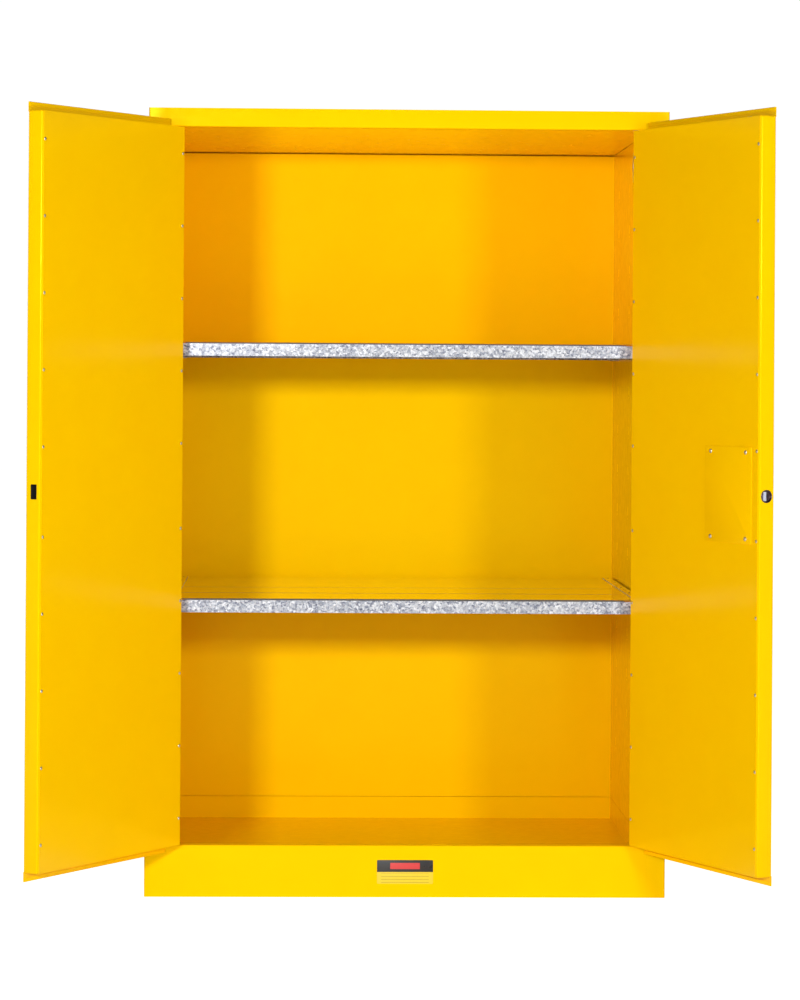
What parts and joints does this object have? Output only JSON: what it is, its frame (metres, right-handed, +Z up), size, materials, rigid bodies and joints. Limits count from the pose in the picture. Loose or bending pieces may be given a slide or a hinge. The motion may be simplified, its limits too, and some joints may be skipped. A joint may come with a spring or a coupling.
{
  "type": "flammable storage cabinet",
  "caption": "Double-walled steel safety cabinet with two hinged doors, a key-locking three-point latch, lift-off galvanised shelves, a leak-tight sump, side vents and levelling feet.",
  "frame": {"origin": "on the floor, under the middle of the body", "axes": "+Z up; the front with the doors faces -Y; +X is to the right for someone who faces the front"},
  "size_m": [1.4771, 1.3352, 1.651],
  "materials": {
    "powder_coat": "semi-gloss powder coat with a faint orange peel",
    "galvanised_steel": "hot-dip galvanised, with visible spangle",
    "zinc_plate": "bright zinc plate",
    "hinge_steel": "plain steel",
    "bright_steel": "bright chrome plate",
    "black_plastic": "fine matt texture",
    "label_film": "printed vinyl film with plain colour bands"
  },
  "bodies": {
    "root": {"outer_side_left": "powder_coat", "outer_side_right": "powder_coat", "outer_back": "powder_coat", "outer_top": "powder_coat", "base_pan": "powder_coat", "liner_left": "powder_coat", "liner_right": "powder_coat", "liner_back": "powder_coat", "liner_ceiling": "powder_coat", "sump_tray": "powder_coat", "top_rail": "powder_coat", "bottom_rail": "powder_coat", "door_post_left": "powder_coat", "door_post_right": "powder_coat", "post_leaf_left": "powder_coat", "post_leaf_right": "powder_coat", "hinge_pin_left": "hinge_steel", "hinge_pin_right": "hinge_steel", "vent_sleeve_low": "hinge_steel", "vent_sleeve_high": "hinge_steel", "vent_screens": "hinge_steel", "ground_stud": "zinc_plate", "ground_nut": "zinc_plate", "front_label": "label_film", "upper_shelf_clips": "zinc_plate", "lower_shelf_clips": "zinc_plate"},
    "left_door": {"left_door_skin": "powder_coat", "left_door_liner": "powder_coat", "left_door_rivets": "zinc_plate", "left_door_stiffener": "galvanised_steel", "strike_box": "black_plastic", "door_leaf_left": "powder_coat"},
    "right_door": {"right_door_skin": "powder_coat", "right_door_liner": "powder_coat", "right_door_rivets": "zinc_plate", "right_door_stiffener": "galvanised_steel", "access_plate": "powder_coat", "access_plate_screws": "zinc_plate", "lock_case": "galvanised_steel", "latch_barrel": "bright_steel", "rod_guides": "galvanised_steel", "handle_plate": "black_plastic", "door_leaf_right": "powder_coat"},
    "handle": {"handle_lever": "black_plastic", "handle_spindle": "zinc_plate"},
    "key_cylinder": {"key_cylinder": "bright_steel"},
    "top_rod": {"top_rod": "zinc_plate"},
    "bottom_rod": {"bottom_rod": "zinc_plate"},
    "centre_bolt": {"centre_bolt": "bright_steel"},
    "upper_shelf": {"upper_shelf_planks": "galvanised_steel", "upper_shelf_end_rails": "galvanised_steel"},
    "lower_shelf": {"lower_shelf_planks": "galvanised_steel", "lower_shelf_end_rails": "galvanised_steel"},
    "vent_cap_low": {"vent_cap_low": "powder_coat"},
    "vent_cap_high": {"vent_cap_high": "powder_coat"},
    "foot_front_left": {"foot_front_left": "black_plastic"},
    "foot_front_right": {"foot_front_right": "black_plastic"},
    "foot_back_left": {"foot_back_left": "black_plastic"},
    "foot_back_right": {"foot_back_right": "black_plastic"}
  },
  "joints": [
    {"name": "left_door_hinge", "type": "hinge", "parent": "root", "child": "left_door", "pos_m": [-0.5002, -0.4358, 0.8605], "axis": [0, 0, -1], "range_deg": [-122, 58]},
    {"name": "right_door_hinge", "type": "hinge", "parent": "root", "child": "right_door", "pos_m": [0.5002, -0.4358, 0.8605], "axis": [0, 0, 1], "range_deg": [-114.5, 65.5]},
    {"name": "handle_turn", "type": "hinge", "parent": "right_door", "child": "handle", "pos_m": [0.67663, -0.82487, 0.8605], "axis": [-0.91, -0.4147, 0], "range_deg": [0, 60]},
    {"name": "key_turn", "type": "hinge", "parent": "handle", "child": "key_cylinder", "pos_m": [0.67663, -0.82487, 0.8605], "axis": [-0.91, -0.4147, 0], "range_deg": [0, 90]},
    {"name": "top_rod_slide", "type": "slide", "parent": "right_door", "child": "top_rod", "axis": [0, 0, 1], "range_m": [0, 0.0191]},
    {"name": "bottom_rod_slide", "type": "slide", "parent": "right_door", "child": "bottom_rod", "axis": [0, 0, -1], "range_m": [0, 0.0191]},
    {"name": "centre_bolt_slide", "type": "slide", "parent": "right_door", "child": "centre_bolt", "axis": [0.4147, -0.91, 0], "range_m": [0, 0.0121]},
    {"name": "upper_shelf_lift", "type": "slide", "parent": "root", "child": "upper_shelf", "axis": [0, 0, 1], "range_m": [0, 0.03]},
    {"name": "lower_shelf_lift", "type": "slide", "parent": "root", "child": "lower_shelf", "axis": [0, 0, 1], "range_m": [0, 0.03]},
    {"name": "vent_cap_low_pull", "type": "slide", "parent": "root", "child": "vent_cap_low", "axis": [-1, 0, 0], "range_m": [0, 0.03]},
    {"name": "vent_cap_high_pull", "type": "slide", "parent": "root", "child": "vent_cap_high", "axis": [1, 0, 0], "range_m": [0, 0.03]},
    {"name": "foot_front_left_screw", "type": "slide", "parent": "root", "child": "foot_front_left", "axis": [0, 0, -1], "range_m": [0, 0.02]},
    {"name": "foot_front_right_screw", "type": "slide", "parent": "root", "child": "foot_front_right", "axis": [0, 0, -1], "range_m": [0, 0.02]},
    {"name": "foot_back_left_screw", "type": "slide", "parent": "root", "child": "foot_back_left", "axis": [0, 0, -1], "range_m": [0, 0.02]},
    {"name": "foot_back_right_screw", "type": "slide", "parent": "root", "child": "foot_back_right", "axis": [0, 0, -1], "range_m": [0, 0.02]}
  ],
  "couplings": [
    {"joint": "top_rod_slide", "follows": "handle_turn", "m_per_rad": 0.018144},
    {"joint": "bottom_rod_slide", "follows": "handle_turn", "m_per_rad": 0.018144},
    {"joint": "centre_bolt_slide", "follows": "handle_turn", "m_per_rad": 0.011459}
  ]
}
